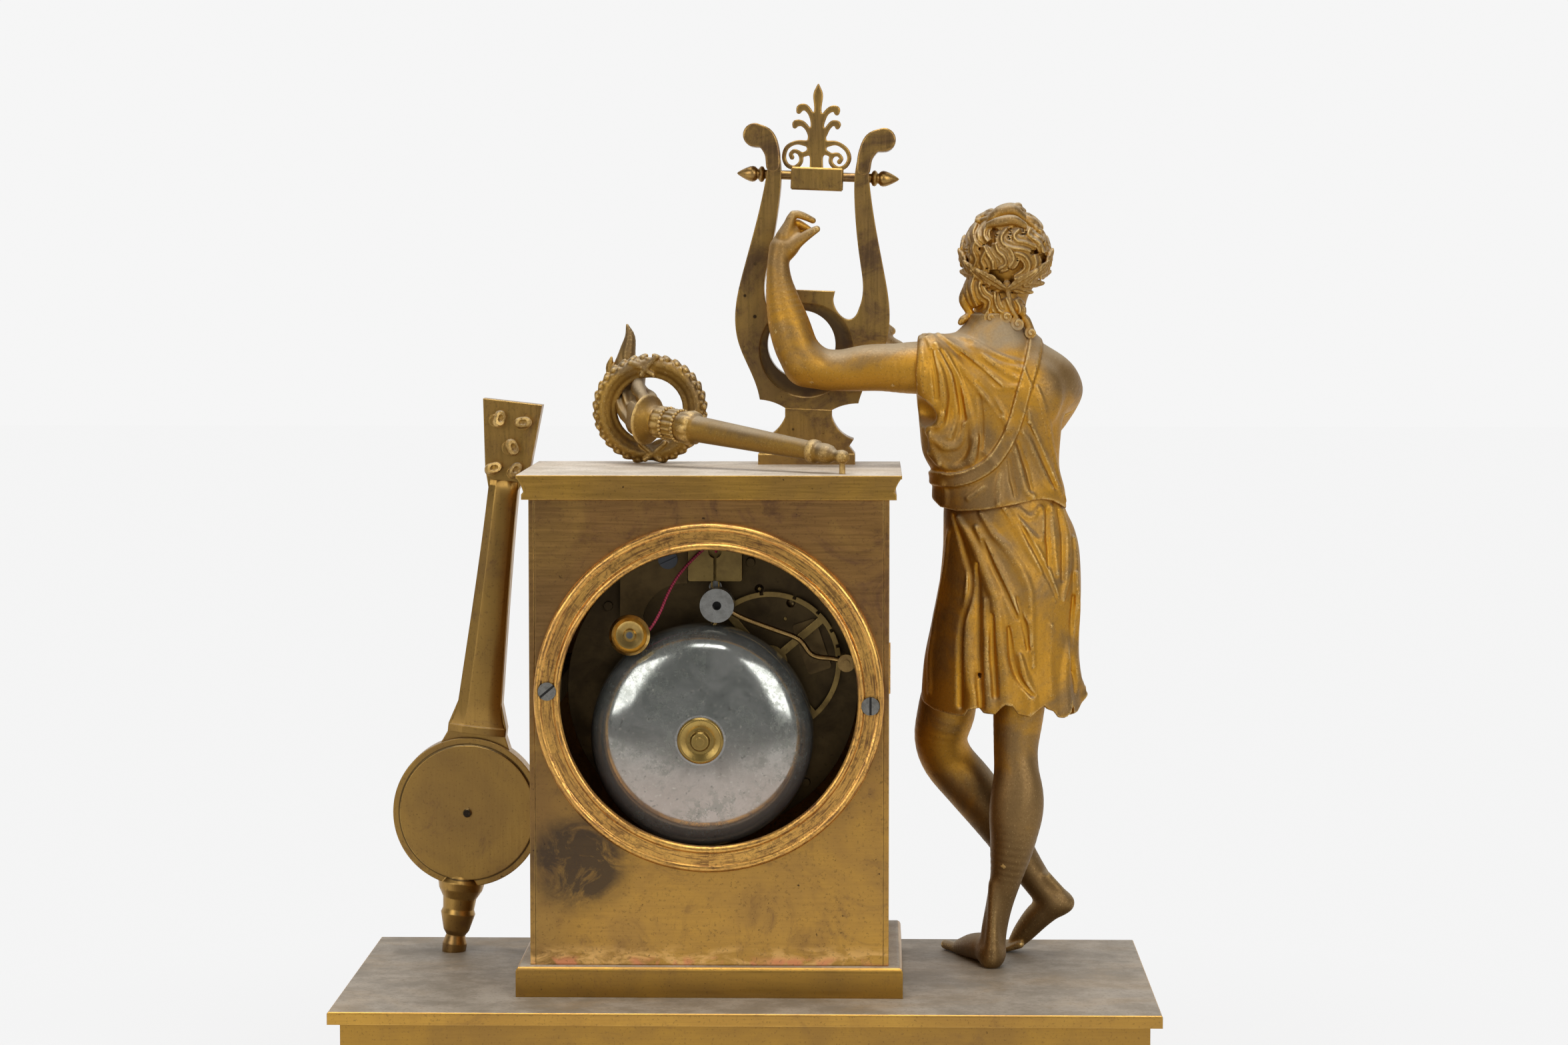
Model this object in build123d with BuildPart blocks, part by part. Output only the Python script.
"""Gilt-bronze mantel clock: a lyre player beside a pedestal that holds a round striking movement.

Millimetres. The origin is the middle of the base's footprint, at the bottom of the feet. Z is up, -Y is the
clock's back, which shows the movement, and +Y is its front, with the dial.
"""
import os
from math import acos, atan2, cos, degrees, hypot, pi, radians, sin, sqrt

from build123d import *

# Base
base_length = 276.0
base_depth = 138.4
base_plate_thickness = 4.3
base_plate_round = 0.8
base_body_inset = 3.8
base_body_height = 46.0
base_wall = 3.0
moulding_height = 8.7
moulding_reach = 3.0
moulding_frame_width = 34.0
foot_height = 16.0
foot_radius = 12.0
foot_inset = 22.0
stud_radius = 2.5
stud_grip = 2.0

# Pedestal
pedestal_x = -12.6
pedestal_width = 121.0
pedestal_depth = 85.0
pedestal_setback = 29.7
pedestal_height = 157.5
pedestal_wall = 1.8
pedestal_front_wall = 2.5
pedestal_end_wall = 3.0
back_panel_thickness = 2.0
plinth_height = 10.5
plinth_reach = 4.8
plinth_back_reach = 3.2
plinth_round = 2.0
plinth_wall = 8.0
cornice_height = 8.2
cornice_reach = 4.2
cornice_back_reach = 0.5
cornice_fillet = 1.2
cornice_cove = 2.5
bolt_radius = 2.0
bolt_spread = 42.0
bolt_head_radius = 4.0
bolt_head_height = 2.5

# Movement, seen from the back
axis_height = 101.4
plate_radius = 50.0
plate_thickness = 2.0
plate_setback = 31.5
plate_gap = 34.0
pillar_radius = 2.5
arbor_radius = 1.0
pivot_radius = 0.6
running_gap = 0.05
end_shake = 0.2
opening_radius = 51.2
rear_bezel_inner = 50.2
rear_bezel_outer = 58.7
rear_bezel_height = 4.0
bezel_turn = -2.5
bezel_screw_circle = 54.3
bezel_screw_radius = 3.05
strap_width = 8.0
strap_thickness = 6.8
dial_radius = 48.0
dial_thickness = 1.2
dial_opening_radius = 49.0
front_bezel_inner = 46.5
front_bezel_outer = 58.0
front_bezel_height = 5.5
door_inner = 44.0
door_outer = 54.5
door_height = 4.0
door_gap = 0.3
glass_radius = 46.5
glass_thickness = 1.5
knuckle_radius = 2.0
hinge_pin_radius = 0.8

# Bell and hammer
bell_radius = 38.0
bell_rise = 19.5
bell_wall = 1.6
bell_gap = 8.5
bell_drop = 14.95
bell_side = -3.1
bell_stud_radius = 1.5
washer_radius = 7.85
washer_thickness = 1.2
washer_dish = 0.6
nut_radius = 3.4
nut_height = 2.6
hammer_radius = 5.8
hammer_length = 9.0
hammer_hole = 1.5
hammer_wire = 0.95

# Suspension and pendulum
block_width = 18.5
block_height = 14.5
block_depth = 8.5
block_side = 1.1
block_lift = 37.3
pendulum_length = 105.0
pendulum_rod_radius = 0.9
bob_radius = 12.0
bob_thickness = 8.0
silk_radius = 0.52
spool_radius = 6.9
spool_height = 4.0
spool_drum_radius = 3.0

# Figure, lyre, lute, torch and wreath
figure_x = 87.0
figure_y = 26.0
hem_height = 90.0
waist_height = 161.0
lyre_x = 19.0
lyre_y = 30.0
lyre_thickness = 13.0
lyre_lean = 2.2
lyre_recess_radius = 16.6
lyre_hole_radius = 12.0
crest_thickness = 2.0
crossbar_radius = 1.6
lute_x = -108.1
lute_y = 36.0
lute_thickness = 11.0
lute_lean = 6.5
lute_drum_radius = 26.7
lute_drum_height = 51.4
lute_cover_radius = 24.2
lute_cover_thickness = 1.5
lute_neck_thickness = 8.0
peg_radius = 2.1
peg_height = 2.4
torch_end = (32.0, -30.0, 5.8)
torch_cup = (-36.5, 20.0, 16.2)
torch_cup_radius = 9.0
torch_pin_radius = 1.3
wreath_x = -36.7
wreath_y = 38.0
wreath_radius = 15.8
wreath_thickness = 4.1
leaf_length = 7.5
leaf_width = 4.2
leaf_thickness = 1.2

# Places that follow from the sizes above
moulding_bottom = foot_height
body_bottom = moulding_bottom + moulding_height
plate_bottom = body_bottom + base_body_height
base_top = plate_bottom + base_plate_thickness
plinth_top = base_top + plinth_height
case_top = plinth_top + pedestal_height
cornice_top = case_top + cornice_height
case_back = -base_depth / 2 + pedestal_setback
case_front = case_back + pedestal_depth
axis_z = base_top + axis_height
plate_rear = case_back + plate_setback
inner = plate_rear + plate_thickness
plate_front = inner + plate_gap
front_face = plate_front + plate_thickness
bezel_rear = case_back - rear_bezel_height
bezel_front = case_front + front_bezel_height
dial_back = case_front - pedestal_front_wall - 0.2
bell_rim = plate_rear - bell_gap
bell_top = bell_rim - bell_rise
nut_face = bell_top - washer_thickness - nut_height
figure_origin = (figure_x, figure_y, base_top)

os.makedirs("parts", exist_ok=True)


def save(builder, name):
    """Label a finished piece and write it."""
    builder.part.label = name
    export_step(builder.part, f"parts/{name}.step")


def upright(y, x=0.0, z=0.0, lean=0.0):
    """A plane that faces the clock's back, with its own up leaning to the right by some degrees."""
    turn = radians(lean)
    return Plane(origin=(x, y, z), x_dir=(cos(turn), 0, -sin(turn)), z_dir=(0, -1, 0))


def on_movement(dx, dz):
    """A place on the movement, from its middle."""
    return pedestal_x + dx, axis_z + dz


def rod_y(place, y0, y1, radius, mode=Mode.ADD):
    """A round rod that runs front to back."""
    with Locations((place[0], (y0 + y1) / 2, place[1])):
        Cylinder(radius, abs(y1 - y0), rotation=(90, 0, 0), mode=mode)


def plate(points, y0, y1, mode=Mode.ADD):
    """A flat plate with a straight-sided outline in X and Z."""
    with BuildSketch(upright(y0)) as outline:
        with BuildLine():
            Polyline(*points, close=True)
        make_face()
    extrude(outline.sketch, amount=y0 - y1, mode=mode)


def turned_y(place, profile):
    """A turned piece round a front-to-back axis, from a list of radius and y."""
    with BuildSketch(Plane(origin=(place[0], 0, place[1]))) as half:
        with BuildLine():
            Polyline(*profile, close=True)
        make_face()
    revolve(half.sketch, axis=Axis((place[0], 0, place[1]), (0, 1, 0)))


def bearing(start, end):
    """The direction from one place on the movement to another, in degrees."""
    return degrees(atan2(end[1] - start[1], end[0] - start[0]))


def meet(start, end, reach_start, reach_end, side):
    """The place that lies a given distance from each of two others."""
    span = hypot(end[0] - start[0], end[1] - start[1])
    along = (reach_start**2 - reach_end**2 + span**2) / (2 * span)
    out = side * sqrt(reach_start**2 - along**2)
    ux, uz = (end[0] - start[0]) / span, (end[1] - start[1]) / span
    return start[0] + along * ux - out * uz, start[1] + along * uz + out * ux


def toothed(place, teeth, module, y0, y1, facing, leaf=False, arms=0):
    """A wheel with a tooth, or a pinion with a gap, that faces the given direction."""
    pitch = teeth * module / 2
    tip = pitch + (0.65 if leaf else 0.85) * module
    root = pitch - (1.3 if leaf else 1.15) * module
    tip_half = (0.09 if leaf else 0.085) * 360 / teeth
    root_half = (0.2 if leaf else 0.27) * 360 / teeth
    start = facing + (180 / teeth if leaf else 0)
    points = []
    for tooth in range(teeth):
        middle = start + tooth * 360 / teeth
        for radius, turn in ((root, -root_half), (tip, -tip_half), (tip, tip_half), (root, root_half)):
            angle = radians(middle + turn)
            points.append((radius * cos(angle), radius * sin(angle)))
    with BuildSketch(upright(y0, place[0], place[1])) as face:
        with BuildLine():
            Polyline(*points, close=True)
        make_face()
        if arms:
            rim = root - 1.6
            Circle(rim, mode=Mode.SUBTRACT)
            Circle(3.0)
            for arm in range(arms):
                with Locations(Rot(0, 0, arm * 360 / arms) * Pos((rim + 0.3) / 2, 0)):
                    Rectangle(rim + 0.3, 1.4)
    extrude(face.sketch, amount=y0 - y1)


def arbor(place, rear_to=None, rear_radius=0.0, front_to=None, front_radius=0.0):
    """A steel arbor with a pivot in each plate, or a thicker end that runs on through a plate."""
    rod_y(place, inner + end_shake, plate_front - end_shake, arbor_radius)
    if rear_to is None:
        rod_y(place, plate_rear + end_shake, inner + end_shake, pivot_radius)
    else:
        rod_y(place, rear_to, inner + end_shake, rear_radius)
    if front_to is None:
        rod_y(place, plate_front - end_shake, front_face - end_shake, pivot_radius)
    else:
        rod_y(place, plate_front - end_shake, front_to, front_radius)


def limb(stations, origin, across=(1, 0, 0), way=None, start=None):
    """A soft form through ellipses, each given by its middle and its two half widths."""
    points = [Vector(*station[:3]) + Vector(*origin) for station in stations]
    sections = []
    for index, station in enumerate(stations):
        along = points[min(index + 1, len(points) - 1)] - points[max(index - 1, 0)]
        along = Vector(*way) if way else along.normalized()
        if start and index == 0:
            along = Vector(*start)
        side = Vector(*across) - along * Vector(*across).dot(along)
        with BuildSketch(Plane(origin=points[index], x_dir=side, z_dir=along)) as section:
            Ellipse(station[3], station[4])
        sections.append(section.sketch)
    loft(sections)


def wire(points, radius):
    """A round wire along a smooth route."""
    with BuildLine() as route:
        Spline(*points)
    with BuildSketch(Plane(origin=route.line @ 0, z_dir=route.line % 0)) as section:
        Circle(radius)
    sweep(section.sketch, path=route.line)


def slotted_head(place, y_seat, radius, height, turn):
    """A round screw head that stands toward the back, with its slot."""
    rod_y(place, y_seat - height, y_seat, radius)
    with BuildSketch(upright(y_seat - height, place[0], place[1])) as slot:
        with Locations(Rot(0, 0, turn)):
            Rectangle(2.2 * radius, 0.25 * radius)
    extrude(slot.sketch, amount=-height / 2, mode=Mode.SUBTRACT)


# Feet: turned, each with the stud that ties the base together
foot_x = base_length / 2 - foot_inset
foot_y = base_depth / 2 - foot_inset
with BuildPart() as feet:
    with BuildSketch(Plane.XZ) as foot_profile:
        with BuildLine():
            bottom_edge = Polyline((0, 0), (0.45 * foot_radius, 0), (0.5 * foot_radius, 1.5))
            belly = ThreePointArc(
                bottom_edge @ 1, (foot_radius, 0.55 * foot_height), (0.72 * foot_radius, 0.85 * foot_height)
            )
            Polyline(
                belly @ 1,
                (0.9 * foot_radius, 0.88 * foot_height),
                (0.9 * foot_radius, foot_height),
                (stud_radius, foot_height),
                (stud_radius, plate_bottom + stud_grip),
                (0, plate_bottom + stud_grip),
                (0, 0),
            )
        make_face()
    with BuildPart(mode=Mode.PRIVATE) as one_foot:
        revolve(foot_profile.sketch, axis=Axis.Z)
    with Locations(*[(sx * foot_x, sy * foot_y) for sx in (-1, 1) for sy in (-1, 1)]):
        add(one_foot.part)
save(feet, "feet")

# Base moulding: the frame under the body, tapered up to the body's walls
body_length = base_length - 2 * base_body_inset
body_depth = base_depth - 2 * base_body_inset
moulding_step = moulding_height / 2
with BuildPart() as base_moulding:
    with BuildSketch(Plane.XY.offset(moulding_bottom)):
        Rectangle(body_length + 2 * moulding_reach, body_depth + 2 * moulding_reach)
    extrude(amount=moulding_step)
    with BuildSketch(Plane.XY.offset(moulding_bottom + moulding_step)):
        Rectangle(body_length + 2 * moulding_reach, body_depth + 2 * moulding_reach)
    extrude(amount=moulding_step, taper=degrees(atan2(moulding_reach, moulding_step)))
    with BuildSketch(Plane.XY.offset(moulding_bottom)):
        Rectangle(body_length - 2 * moulding_frame_width, body_depth - 2 * moulding_frame_width)
        with GridLocations(2 * foot_x, 2 * foot_y, 2, 2):
            Circle(stud_radius + running_gap)
    extrude(amount=moulding_height, mode=Mode.SUBTRACT)
save(base_moulding, "base_moulding")

# Base body: four walls
with BuildPart() as base_body:
    with BuildSketch(Plane.XY.offset(body_bottom)):
        Rectangle(body_length, body_depth)
        Rectangle(body_length - 2 * base_wall, body_depth - 2 * base_wall, mode=Mode.SUBTRACT)
    extrude(amount=base_body_height)
save(base_body, "base_body")

# Base top plate, with a blind hole over each stud and a hole for each pedestal bolt
bolt_places = [(pedestal_x + side * bolt_spread, (case_back + case_front) / 2) for side in (-1, 1)]
with BuildPart() as base_top_plate:
    with BuildSketch(Plane.XY.offset(plate_bottom)):
        Rectangle(base_length, base_depth)
        with Locations(*bolt_places):
            Circle(bolt_radius + running_gap, mode=Mode.SUBTRACT)
    extrude(amount=base_plate_thickness)
    fillet(base_top_plate.edges().group_by(Axis.Z)[-1].filter_by(GeomType.LINE), base_plate_round)
    with BuildSketch(Plane.XY.offset(plate_bottom)):
        with GridLocations(2 * foot_x, 2 * foot_y, 2, 2):
            Circle(stud_radius + running_gap)
    extrude(amount=stud_grip + running_gap, mode=Mode.SUBTRACT)
save(base_top_plate, "base_top_plate")

# Pedestal plinth: a hollow frame with a rounded top edge
plinth_length = pedestal_width + 2 * plinth_reach
plinth_y0 = case_back - plinth_back_reach
plinth_y1 = case_front + plinth_reach
plinth_depth = plinth_y1 - plinth_y0
with BuildPart() as pedestal_plinth:
    with BuildSketch(Plane(origin=(pedestal_x, (plinth_y0 + plinth_y1) / 2, base_top))):
        Rectangle(plinth_length, plinth_depth)
    extrude(amount=plinth_height)
    fillet(pedestal_plinth.edges().group_by(Axis.Z)[-1], plinth_round)
    with BuildSketch(Plane(origin=(pedestal_x, (plinth_y0 + plinth_y1) / 2, base_top))):
        Rectangle(plinth_length - 2 * plinth_wall, plinth_depth - 2 * plinth_wall)
    extrude(amount=plinth_height, mode=Mode.SUBTRACT)
save(pedestal_plinth, "pedestal_plinth")

# Pedestal case: a box with an open back and a round dial opening
case_mid_y = (case_back + case_front) / 2
case_inner_width = pedestal_width - 2 * pedestal_wall
with BuildPart() as pedestal_case:
    with BuildSketch(Plane(origin=(pedestal_x, case_mid_y, plinth_top))):
        Rectangle(pedestal_width, pedestal_depth)
    extrude(amount=pedestal_height)
    with BuildSketch(upright(case_back, pedestal_x, plinth_top + pedestal_height / 2)):
        Rectangle(case_inner_width, pedestal_height - 2 * pedestal_end_wall)
    extrude(amount=-(pedestal_depth - pedestal_front_wall), mode=Mode.SUBTRACT)
    with BuildSketch(upright(case_back, pedestal_x, plinth_top + pedestal_height / 2)):
        Rectangle(case_inner_width, pedestal_height)
    extrude(amount=-back_panel_thickness, mode=Mode.SUBTRACT)
    dial_hole_start = case_front - 2 * pedestal_front_wall
    rod_y(on_movement(0, 0), dial_hole_start, case_front + 1, dial_opening_radius, Mode.SUBTRACT)
    for bolt in bolt_places:
        with Locations((bolt[0], bolt[1], plinth_top + pedestal_end_wall / 2)):
            Cylinder(bolt_radius + running_gap, 2 * pedestal_end_wall, mode=Mode.SUBTRACT)
save(pedestal_case, "pedestal_case")

# Back panel: set between the side walls, with the movement's opening and two screw holes
screw_angles = [bezel_turn, bezel_turn + 180]
screw_places = [
    on_movement(bezel_screw_circle * cos(radians(angle)), bezel_screw_circle * sin(radians(angle)))
    for angle in screw_angles
]
screw_shank = bezel_screw_radius / 2
with BuildPart() as pedestal_back_panel:
    with BuildSketch(upright(case_back, pedestal_x, plinth_top + pedestal_height / 2)):
        Rectangle(case_inner_width - 0.2, pedestal_height)
    extrude(amount=-back_panel_thickness)
    hole_end = case_back + 2 * back_panel_thickness
    rod_y(on_movement(0, 0), case_back - 1, hole_end, opening_radius, Mode.SUBTRACT)
    for place in screw_places:
        rod_y(place, case_back - 1, case_back + 5, screw_shank + running_gap, Mode.SUBTRACT)
save(pedestal_back_panel, "pedestal_back_panel")

# Cornice: a coved moulding on the front and the sides, flat at the back
cornice_half = pedestal_width / 2 + cornice_reach
cornice_front = case_front + cornice_reach


def cornice_edge(reach):
    """The moulding's points from its foot up to its top edge, at a given reach."""
    foot = (reach - cornice_cove - 0.6, 0)
    lower = (reach - cornice_cove + 0.7, 0)
    lower_top = (reach - cornice_cove + 0.7, 1.8)
    cove_foot = (reach - cornice_cove, 2.6)
    cove_top = (reach - 0.4, cornice_height - cornice_fillet)
    return foot, lower, lower_top, cove_foot, cove_top


with BuildPart() as cornice:
    with BuildSketch(upright(case_back - cornice_back_reach, pedestal_x, case_top)):
        with BuildLine():
            foot, lower, lower_top, cove_foot, cove_top = cornice_edge(cornice_half)
            Polyline((0, 0), foot, lower, lower_top, cove_foot)
            RadiusArc(cove_foot, cove_top, 1.4 * cornice_height)
            lip = (cornice_half, cove_top[1])
            Polyline(cove_top, lip, (cornice_half, cornice_height), (0, cornice_height), (0, 0))
        make_face()
        mirror(about=Plane.YZ)
    extrude(amount=-(cornice_front - case_back + cornice_back_reach + 1))
    with BuildSketch(Plane(origin=(pedestal_x, 0, case_top), x_dir=(0, 1, 0), z_dir=(1, 0, 0))):
        with BuildLine():
            foot, lower, lower_top, cove_foot, cove_top = cornice_edge(cornice_front)
            back = case_back - cornice_back_reach
            Polyline((back, 0), foot, lower, lower_top, cove_foot)
            RadiusArc(cove_foot, cove_top, 1.4 * cornice_height)
            lip = (cornice_front, cove_top[1])
            Polyline(cove_top, lip, (cornice_front, cornice_height), (back, cornice_height), (back, 0))
        make_face()
    extrude(amount=pedestal_width, both=True, mode=Mode.INTERSECT)
save(cornice, "cornice")

# Pedestal bolts: from the case's floor, through the plinth, to a nut under the base plate
with BuildPart() as pedestal_bolts:
    for bolt in bolt_places:
        shank_top = plinth_top + pedestal_end_wall
        shank_bottom = plate_bottom - 2 * bolt_head_height
        with Locations((bolt[0], bolt[1], (shank_top + shank_bottom) / 2)):
            Cylinder(bolt_radius, shank_top - shank_bottom)
        with Locations((bolt[0], bolt[1], shank_top + bolt_head_height / 2)):
            Cylinder(bolt_head_radius, bolt_head_height)
        with BuildSketch(Plane(origin=(bolt[0], bolt[1], plate_bottom))):
            RegularPolygon(bolt_head_radius, 6)
        extrude(amount=-bolt_head_height)
save(pedestal_bolts, "pedestal_bolts")

# Rear bezel: a ring with an outer bead, a flat land and an inner lip
bezel_land = case_back - 0.65 * rear_bezel_height
with BuildPart() as rear_bezel:
    with BuildSketch(Plane(origin=(pedestal_x, 0, axis_z))):
        with BuildLine():
            lip = rear_bezel_inner + 2.2
            bead = rear_bezel_outer - 2.4
            edge = (rear_bezel_outer, case_back - 1)
            Polyline((rear_bezel_inner, case_back), (rear_bezel_outer, case_back), edge)
            ThreePointArc(edge, (rear_bezel_outer - 0.7, bezel_land - 0.5), (bead, bezel_land))
            Line((bead, bezel_land), (lip, bezel_land))
            lip_end = (rear_bezel_inner, bezel_land + 0.6)
            ThreePointArc((lip, bezel_land), (rear_bezel_inner + 1.1, bezel_rear), lip_end)
            Line(lip_end, (rear_bezel_inner, case_back))
        make_face()
    revolve(axis=Axis((pedestal_x, 0, axis_z), (0, 1, 0)))
    for place in screw_places:
        rod_y(place, bezel_rear - 1, case_back + 1, screw_shank + running_gap, Mode.SUBTRACT)
        rod_y(place, bezel_rear - 1, bezel_land, bezel_screw_radius + running_gap, Mode.SUBTRACT)
save(rear_bezel, "rear_bezel")

# Bezel screws: through the bezel and the panel into the straps
strap_rear = case_back + back_panel_thickness
screw_grip = 6.0
with BuildPart() as bezel_screws:
    for place, slot_turn in zip(screw_places, (90, 40)):
        slotted_head(place, bezel_land, bezel_screw_radius, 1.3, slot_turn)
        rod_y(place, bezel_land - 0.1, strap_rear + screw_grip, screw_shank)
save(bezel_screws, "bezel_screws")

# Straps: two bars beside the plates, from the back panel to the case's front wall
strap_front = case_front - pedestal_front_wall
with BuildPart() as movement_straps:
    for angle, place in zip(screw_angles, screw_places):
        with BuildSketch(upright(strap_rear, pedestal_x, axis_z)):
            with Locations(Rot(0, 0, angle) * Pos(plate_radius + strap_thickness / 2, 0)):
                Rectangle(strap_thickness, strap_width)
        extrude(amount=-(strap_front - strap_rear))
        rod_y(place, strap_rear - 1, strap_rear + screw_grip + 0.5, screw_shank + running_gap, Mode.SUBTRACT)
save(movement_straps, "movement_straps")

# Front bezel: a turned ring round the dial, with the fixed knuckle and pin of the door's hinge
hinge_x = pedestal_x + front_bezel_outer + 1.5
hinge_y = bezel_front + door_gap + knuckle_radius
knuckle_length = 6.0
with BuildPart() as front_bezel:
    turned_y(
        on_movement(0, 0),
        [
            (front_bezel_inner, case_front),
            (front_bezel_outer, case_front),
            (front_bezel_outer, case_front + 0.5 * front_bezel_height),
            (front_bezel_outer - 2, bezel_front - 0.6),
            (front_bezel_outer - 5, bezel_front),
            (front_bezel_inner + 2, bezel_front),
            (front_bezel_inner, case_front + 0.4 * front_bezel_height),
        ],
    )
    with Locations((hinge_x, hinge_y, axis_z)):
        Cylinder(knuckle_radius, knuckle_length)
        Cylinder(hinge_pin_radius, 3 * knuckle_length + 2)
    with Locations((hinge_x - 1.2, (case_front + hinge_y) / 2, axis_z)):
        Box(2.0, hinge_y - case_front, knuckle_length)
save(front_bezel, "front_bezel")

# Door: a ring with a rebate for the glass, two knuckles and a small pull
door_back = bezel_front + door_gap
door_front = door_back + door_height
with BuildPart() as door_ring:
    turned_y(
        on_movement(0, 0),
        [
            (glass_radius + 0.1, door_back),
            (door_outer, door_back),
            (door_outer, door_back + 0.5 * door_height),
            (door_outer - 3, door_front),
            (door_inner, door_front),
            (door_inner, door_front - 1.2),
            (glass_radius + 0.1, door_front - 1.2),
        ],
    )
    knuckle_gap = 0.2
    for side in (-1, 1):
        knuckle_z = axis_z + side * (knuckle_length + knuckle_gap)
        with Locations((hinge_x, hinge_y, knuckle_z)):
            Cylinder(knuckle_radius, knuckle_length)
        with Locations((hinge_x - 3.6, hinge_y, knuckle_z)):
            Box(6.0, 1.8, knuckle_length)
    with Locations((hinge_x, hinge_y, axis_z)):
        Cylinder(hinge_pin_radius + running_gap, 4 * knuckle_length, mode=Mode.SUBTRACT)
    pull_x = pedestal_x - door_outer + 1.8
    with Locations((pull_x, door_front + 1.0, axis_z)):
        Sphere(1.6)
save(door_ring, "door_ring")

# Door glass: a bevelled disc that sits in the ring's rebate
glass_front = door_front - 1.2
glass_bevel = 0.6
with BuildPart() as door_glass:
    rod_y(on_movement(0, 0), glass_front - glass_thickness, glass_front, glass_radius)
    chamfer(door_glass.edges().group_by(Axis.Y)[0], glass_bevel)
save(door_glass, "door_glass")

# Places of the arbors on the movement, each set so that its wheel meets the next one's pinion
great_module = 0.5
great_teeth = 72
great_pinion = 12
second_module = 0.45
second_teeth = 60
second_pinion = 10
centre_module = 0.4
centre_teeth = 64
third_module = 0.35
third_teeth = 60
small_pinion = 8
fly_teeth = 60
great_reach = (great_teeth + great_pinion) * great_module / 2
second_reach = (second_teeth + second_pinion) * second_module / 2
centre_reach = (centre_teeth + small_pinion) * centre_module / 2
third_reach = (third_teeth + small_pinion) * third_module / 2
fly_reach = (fly_teeth + small_pinion) * centre_module / 2
barrel_side = 22.5
count_side = 19.7
count_lift = 8.8
barrel_lift = count_lift - sqrt(great_reach**2 - (barrel_side - count_side) ** 2)
escape_lift = 22.0
pallet_lift = 35.0
fly_bearing = 130.8
pin_bearing = 70.6
hammer_side = 46.0
hammer_lift = 9.6
centre_at = on_movement(0, 0)
going_at = on_movement(-barrel_side, barrel_lift)
strike_at = on_movement(barrel_side, barrel_lift)
count_at = on_movement(count_side, count_lift)
between_at = meet(going_at, centre_at, great_reach, second_reach, -1)
escape_at = on_movement(block_side, escape_lift)
third_at = meet(centre_at, escape_at, centre_reach, third_reach, 1)
pallet_at = on_movement(block_side, pallet_lift)
pin_at = (
    count_at[0] + second_reach * cos(radians(pin_bearing)),
    count_at[1] + second_reach * sin(radians(pin_bearing)),
)
fly_at = (
    pin_at[0] + fly_reach * cos(radians(fly_bearing)),
    pin_at[1] + fly_reach * sin(radians(fly_bearing)),
)
hammer_at = on_movement(hammer_side, hammer_lift)
bell_at = on_movement(bell_side, -bell_drop)
pillar_places = [on_movement(-32, -33), on_movement(32, -33), on_movement(-36, 28), on_movement(13, 43.2)]

# Levels between the plates, from the back plate's inner face
great_level = (inner + 11.0, inner + 13.0)
great_pinion_level = (inner + 10.5, inner + 13.5)
second_level = (inner + 7.5, inner + 8.7)
second_pinion_level = (inner + 7.0, inner + 9.2)
centre_level = (inner + 4.4, inner + 5.4)
centre_pinion_level = (inner + 3.9, inner + 5.9)
third_level = (inner + 1.4, inner + 2.2)
third_pinion_level = (inner + 0.9, inner + 2.7)
escape_level = (inner + 18.0, inner + 18.8)
drum_level = (inner + 14.0, plate_front - 2.0)
count_level = (plate_rear - 2.9, plate_rear - 1.9)
crutch_level = (plate_rear - 4.3, plate_rear - 3.5)
rod_level = plate_rear - 5.7
arm_level = plate_rear - 10.2

# Motion work in front of the front plate
cannon_teeth = 12
cannon_module = 0.5
minute_teeth = 36
motion_reach = (cannon_teeth + minute_teeth) * cannon_module / 2
minute_pinion = 10
hour_teeth = 40
hour_module = 2 * motion_reach / (minute_pinion + hour_teeth)
minute_bearing = 60.0
minute_at = on_movement(
    motion_reach * cos(radians(minute_bearing)),
    motion_reach * sin(radians(minute_bearing)),
)
cannon_level = (front_face + 0.8, front_face + 2.8)
minute_level = (front_face + 1.2, front_face + 2.4)
hour_level = (front_face + 4.0, front_face + 5.2)
hand_level = dial_back + dial_thickness + 1.0
minute_hand_level = hand_level + 1.8
stud_pin_radius = 1.2

winding_radius = 2.0
centre_arbor_radius = 1.6
count_arbor_radius = 1.5
hammer_arbor_radius = 1.2
small_pivots = [between_at, third_at, escape_at, pin_at, fly_at]


def movement_plate(y0, y1, holes):
    """A round plate with its pillar holes and pivot holes."""
    rod_y(centre_at, y0, y1, plate_radius)
    for place, radius in holes:
        rod_y(place, y0 - 1, y1 + 1, radius + running_gap, Mode.SUBTRACT)


pillar_pin_radius = 1.5
rear_holes = [(place, pivot_radius) for place in small_pivots + [centre_at]]
rear_holes += [(place, pillar_pin_radius) for place in pillar_places]
rear_holes += [(going_at, arbor_radius), (strike_at, arbor_radius), (count_at, count_arbor_radius)]
rear_holes += [(hammer_at, hammer_arbor_radius), (pallet_at, arbor_radius)]
front_holes = [(place, pivot_radius) for place in small_pivots + [count_at, hammer_at, pallet_at]]
front_holes += [(going_at, winding_radius), (strike_at, winding_radius), (centre_at, centre_arbor_radius)]

# Back plate, with oil sinks at the pivots that show
oil_sinks = [on_movement(16.0, 34.0), on_movement(26.9, 29.2)]
with BuildPart() as back_plate:
    movement_plate(plate_rear, inner, rear_holes)
    for place in oil_sinks:
        with Locations((place[0], plate_rear - 1.2, place[1])):
            Sphere(2.0, mode=Mode.SUBTRACT)
save(back_plate, "back_plate")

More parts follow.
